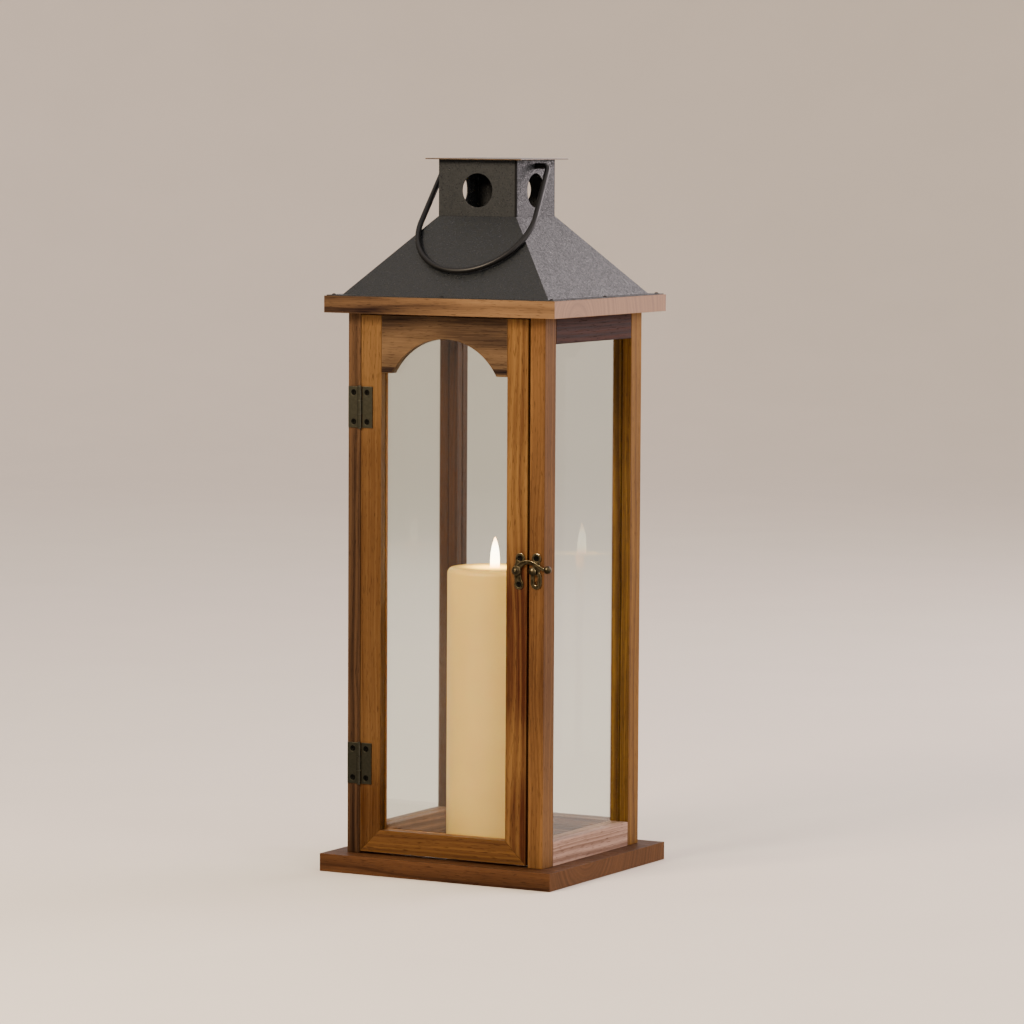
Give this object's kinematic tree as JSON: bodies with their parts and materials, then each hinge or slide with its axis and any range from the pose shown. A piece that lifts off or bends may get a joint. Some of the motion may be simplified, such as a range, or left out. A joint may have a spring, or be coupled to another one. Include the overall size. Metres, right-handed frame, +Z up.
{
  "type": "hanging lantern",
  "caption": "Glazed wooden box lantern with an arched hinged door, hook latch, pyramid sheet-metal roof, vented chimney, wire bail and an electric pillar candle.",
  "frame": {"origin": "middle of the base board's underside", "axes": "+Z up, the door faces -Y, +X to the right seen from the front"},
  "size_m": [0.2206, 0.207, 0.6],
  "materials": {
    "stained_wood": "brown-stained acacia, satin oiled",
    "clear_glass": "clear float glass",
    "black_sheet_metal": "charcoal textured powder coat on folded sheet steel",
    "black_wire": "black semi-gloss coat on steel wire",
    "zinc_steel": "zinc plated",
    "bronzed_steel": "dark bronze plated, worn on the knuckles",
    "antique_brass": "antique brass, dark in its recesses",
    "ivory_wax": "smooth ivory paraffin wax",
    "lit_flame_lens": "frosted acrylic lens, lit from below",
    "led_package": "warm white LED package",
    "ivory_plastic": "moulded ivory ABS",
    "battery_case": "plain wrapped steel can",
    "black_plastic": "moulded black ABS"
  },
  "bodies": {
    "frame": {"base_board": "stained_wood", "post_front_left": "stained_wood", "post_front_right": "stained_wood", "post_rear_left": "stained_wood", "post_rear_right": "stained_wood", "low_rail_left": "stained_wood", "low_rail_right": "stained_wood", "low_rail_back": "stained_wood", "top_rail_left": "stained_wood", "top_rail_right": "stained_wood", "top_rail_back": "stained_wood", "glass_left": "clear_glass", "glass_right": "clear_glass", "glass_back": "clear_glass", "top_board": "stained_wood", "roof": "black_sheet_metal", "chimney": "black_sheet_metal", "cap": "black_sheet_metal", "base_screws": "zinc_steel", "top_board_screws": "zinc_steel", "roof_tacks": "black_sheet_metal", "upper_hinge_frame_leaf": "bronzed_steel", "upper_hinge_pin": "bronzed_steel", "lower_hinge_frame_leaf": "bronzed_steel", "lower_hinge_pin": "bronzed_steel", "hinge_screws_frame": "bronzed_steel", "catch_plate": "antique_brass", "catch_peg": "antique_brass", "catch_screws": "antique_brass", "candle_wax": "ivory_wax", "candle_flame": "lit_flame_lens", "candle_led": "led_package", "candle_housing": "ivory_plastic", "candle_cells": "battery_case", "candle_contacts": "zinc_steel", "candle_cover": "ivory_plastic"},
    "door": {"door_stile_hinged": "stained_wood", "door_stile_free": "stained_wood", "door_low_rail": "stained_wood", "door_arched_rail": "stained_wood", "door_glass": "clear_glass", "door_bead_hinged": "stained_wood", "door_bead_free": "stained_wood", "door_bead_low": "stained_wood", "door_bead_top": "stained_wood", "upper_hinge_door_leaf": "bronzed_steel", "lower_hinge_door_leaf": "bronzed_steel", "hinge_screws_door": "bronzed_steel", "latch_plate": "antique_brass", "latch_rivet": "antique_brass", "latch_screws": "antique_brass"},
    "hook": {"latch_hook": "antique_brass"},
    "bail": {"bail": "black_wire"},
    "switch": {"candle_switch": "black_plastic"}
  },
  "joints": [
    {"name": "door_hinge", "type": "hinge", "parent": "frame", "child": "door", "pos_m": [-0.08155, -0.08795, 0.24], "axis": [0, 0, -1], "range_deg": [0, 170]},
    {"name": "hook_pivot", "type": "hinge", "parent": "door", "child": "hook", "pos_m": [0.06875, -0.08825, 0.262], "axis": [0, -1, 0], "range_deg": [-8, 100]},
    {"name": "bail_swing", "type": "hinge", "parent": "frame", "child": "bail", "pos_m": [0, 0, 0.5938], "axis": [-1, 0, 0], "range_deg": [0, 277.5]},
    {"name": "switch_slide", "type": "slide", "parent": "frame", "child": "switch", "axis": [1, 0, 0], "range_m": [0, 0.003]}
  ]
}
